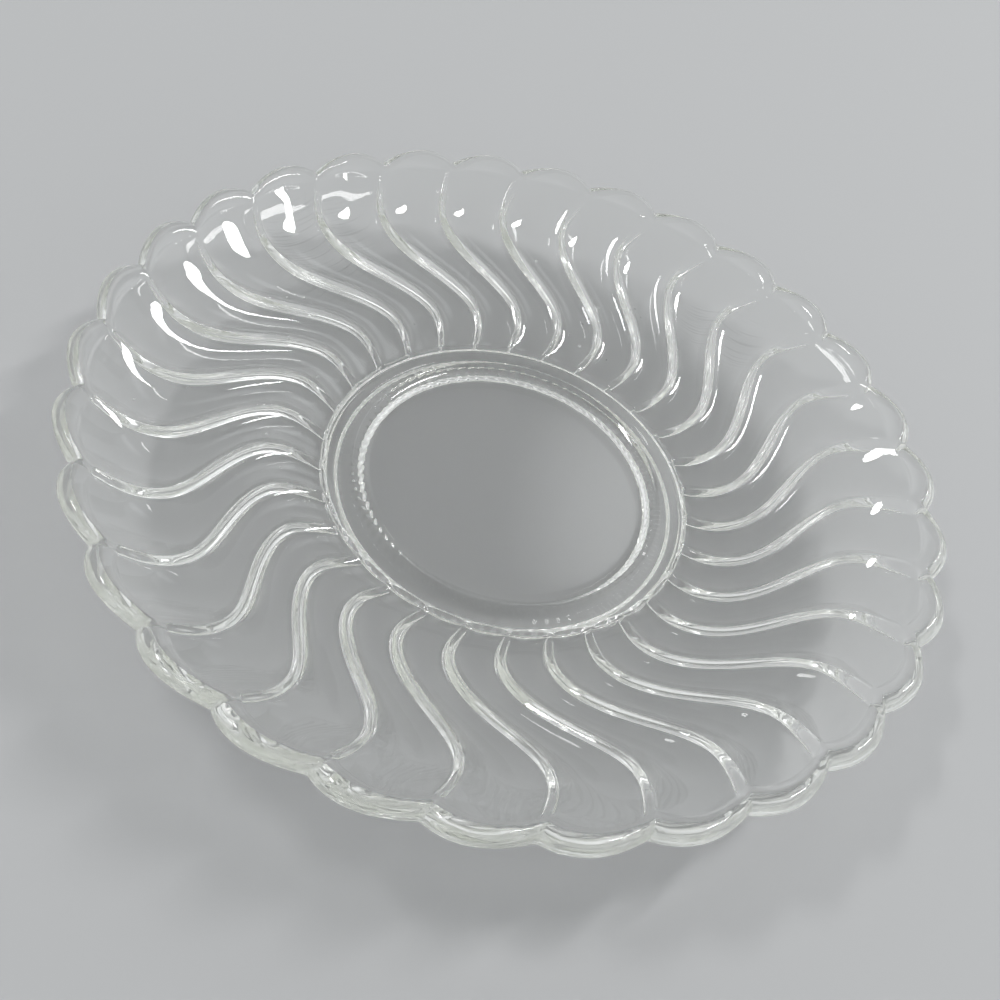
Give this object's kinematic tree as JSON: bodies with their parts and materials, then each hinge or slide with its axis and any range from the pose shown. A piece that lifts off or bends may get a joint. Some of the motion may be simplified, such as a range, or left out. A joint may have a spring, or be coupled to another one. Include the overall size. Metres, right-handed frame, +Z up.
{
  "type": "saucer",
  "caption": "Clear pressed glass saucer with a flat cup well, a stepped cup ring, swirling S-shaped flutes, a scalloped rim and a low foot ring.",
  "frame": {"origin": "on the table under the centre of the saucer", "axes": "+Z up along the saucer's axis; +X through one notch of the rim"},
  "size_m": [0.1472, 0.1478, 0.022],
  "materials": {
    "glass": "clear pressed glass with a faint green-grey tint, bright fire-polished faces"
  },
  "bodies": {
    "root": {"well_floor": "glass", "cup_ring": "glass", "foot_ring": "glass", "fluted_wall": "glass", "scalloped_rim": "glass"}
  },
  "joints": []
}
